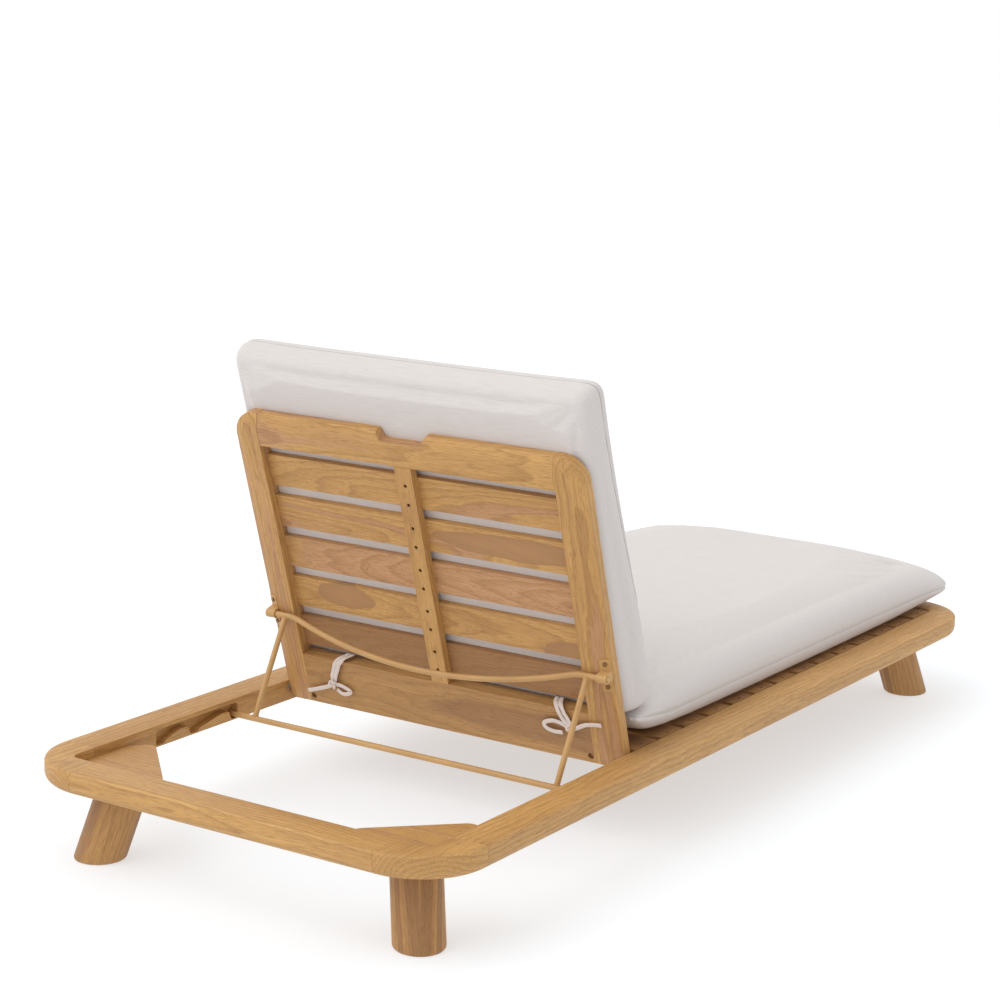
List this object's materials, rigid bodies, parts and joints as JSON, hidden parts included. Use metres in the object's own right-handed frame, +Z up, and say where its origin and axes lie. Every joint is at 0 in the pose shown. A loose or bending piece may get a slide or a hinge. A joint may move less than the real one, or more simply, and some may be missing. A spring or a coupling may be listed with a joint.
{
  "type": "reclining sun lounger",
  "caption": "Low timber sun lounger on splayed round legs, with a slatted seat, a slatted backrest that reclines on a bent-rod prop in side racks, and a folding mattress.",
  "frame": {"origin": "on the ground, under the middle of the ring", "axes": "+X towards the left of a person lying on it, +Y towards the head end, +Z up"},
  "size_m": [0.9, 2.05, 0.8589],
  "materials": {
    "teak": "oiled, satin",
    "canvas": "woven canvas, matt",
    "tie": "woven tape, matt",
    "coated_rod": "powder coated, satin",
    "steel": "brushed",
    "bush": "moulded, matt"
  },
  "bodies": {
    "frame": {"side_rail_left": "teak", "side_rail_right": "teak", "head_rail": "teak", "foot_rail": "teak", "corner_head_left": "teak", "corner_head_right": "teak", "corner_foot_left": "teak", "corner_foot_right": "teak", "corner_gussets": "teak", "leg_head_left": "teak", "leg_head_right": "teak", "leg_foot_left": "teak", "leg_foot_right": "teak", "leg_studs": "steel", "rail_tenons": "teak", "gusset_dowels": "teak", "seat_ledgers": "teak", "seat_cross_rail": "teak", "seat_slat_01": "teak", "seat_slat_02": "teak", "seat_slat_03": "teak", "seat_slat_04": "teak", "seat_slat_05": "teak", "seat_slat_06": "teak", "seat_slat_07": "teak", "seat_slat_08": "teak", "seat_slat_09": "teak", "seat_slat_10": "teak", "seat_slat_11": "teak", "seat_slat_12": "teak", "seat_slat_13": "teak", "seat_slat_14": "teak", "seat_slat_screws": "steel", "hinge_bushes": "bush", "seat_cushion": "canvas"},
    "backrest": {"hinge_bolts": "steel", "hinge_barrel_nuts": "steel", "back_stile_left": "teak", "back_stile_right": "teak", "back_top_rail": "teak", "back_bottom_rail": "teak", "back_centre_stile": "teak", "back_slat_1": "teak", "back_slat_2": "teak", "back_slat_3": "teak", "back_slat_4": "teak", "back_slat_5": "teak", "back_slat_screws": "steel", "saddle_brackets": "coated_rod", "saddle_screws": "steel", "back_cushion": "canvas", "tie_left_band": "tie", "tie_left_loop": "tie", "tie_right_tail": "tie", "tie_right_loop": "tie", "tie_knots": "tie"},
    "prop": {"prop_top_rod": "coated_rod", "prop_arm_left": "coated_rod", "prop_arm_right": "coated_rod", "prop_rack_bar": "coated_rod"}
  },
  "joints": [
    {"name": "backrest_recline", "type": "hinge", "parent": "frame", "child": "backrest", "pos_m": [0, 0.347, 0.1725], "axis": [-1, 0, 0], "range_deg": [0, 71.5]},
    {"name": "prop_swing", "type": "hinge", "parent": "backrest", "child": "prop", "pos_m": [0, 0.41846, 0.33469], "axis": [1, 0, 0], "range_deg": [0, 134.3]}
  ],
  "couplings": [
    {"joint": "prop_swing", "follows": "backrest_recline", "ratio": 1.8762}
  ]
}
